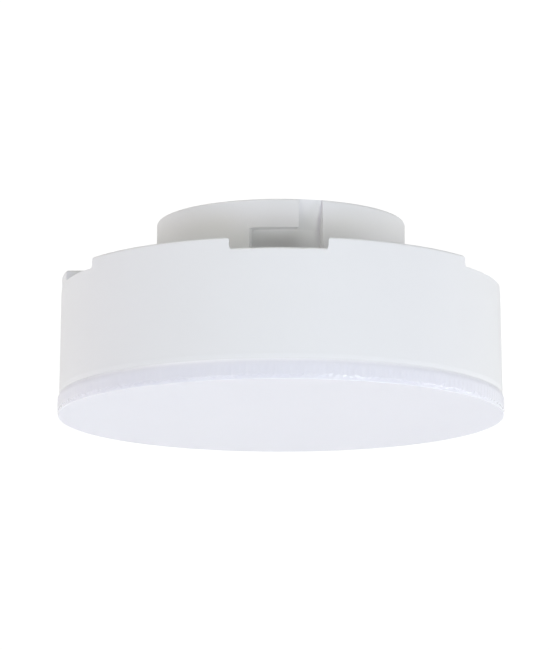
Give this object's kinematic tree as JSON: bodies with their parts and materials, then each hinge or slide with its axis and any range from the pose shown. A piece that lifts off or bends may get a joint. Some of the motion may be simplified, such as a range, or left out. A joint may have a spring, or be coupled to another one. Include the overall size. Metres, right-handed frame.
{
  "type": "led disc lamp",
  "caption": "Flat round LED lamp with an opal light face in a white housing, a castellated rim and a two-pin twist-lock cap with bayonet slots.",
  "frame": {"origin": "centre of the flat light face, on the plane that the lamp stands on", "axes": "+Z from the light face towards the cap along the lamp's axis; the contact pins lie on X; -Y is the side that shows one rim notch and one bayonet slot to the viewer"},
  "size_m": [0.075, 0.075, 0.033],
  "materials": {
    "white_plastic": "satin moulded thermoplastic, white",
    "opal_plastic": "opal polycarbonate, faintly lilac",
    "nickel_plate": "nickel-plated turned brass",
    "pressed_aluminium": "plain pressed sheet",
    "white_board": "aluminium core under white solder mask",
    "led_package": "white package with a yellow phosphor window",
    "zinc_steel": "zinc-plated steel",
    "green_board": "glass epoxy under green solder mask",
    "dark_sleeve": "heat-shrink sleeve over an aluminium can",
    "ochre_dip": "dipped epoxy",
    "shrink_sleeve": "ferrite drum with a sleeved winding",
    "green_lacquer": "lacquered ceramic",
    "black_moulding": "black moulding compound with tinned leads",
    "white_insulation": "silicone insulation",
    "red_insulation": "silicone insulation",
    "black_insulation": "silicone insulation"
  },
  "bodies": {
    "root": {"housing": "white_plastic", "diffuser": "opal_plastic", "contact_pin_left": "nickel_plate", "contact_pin_right": "nickel_plate", "heat_sink": "pressed_aluminium", "led_board": "white_board", "leds": "led_package", "led_board_screws": "zinc_steel", "driver_board": "green_board", "bulk_capacitor": "dark_sleeve", "output_capacitor": "dark_sleeve", "film_capacitor": "ochre_dip", "inductor": "shrink_sleeve", "fusible_resistor": "green_lacquer", "bridge_rectifier": "black_moulding", "driver_chip": "black_moulding", "freewheel_diode": "black_moulding", "chip_resistors": "black_moulding", "pin_wire_left": "white_insulation", "pin_wire_right": "white_insulation", "led_wire_plus": "red_insulation", "led_wire_minus": "black_insulation"}
  },
  "joints": []
}
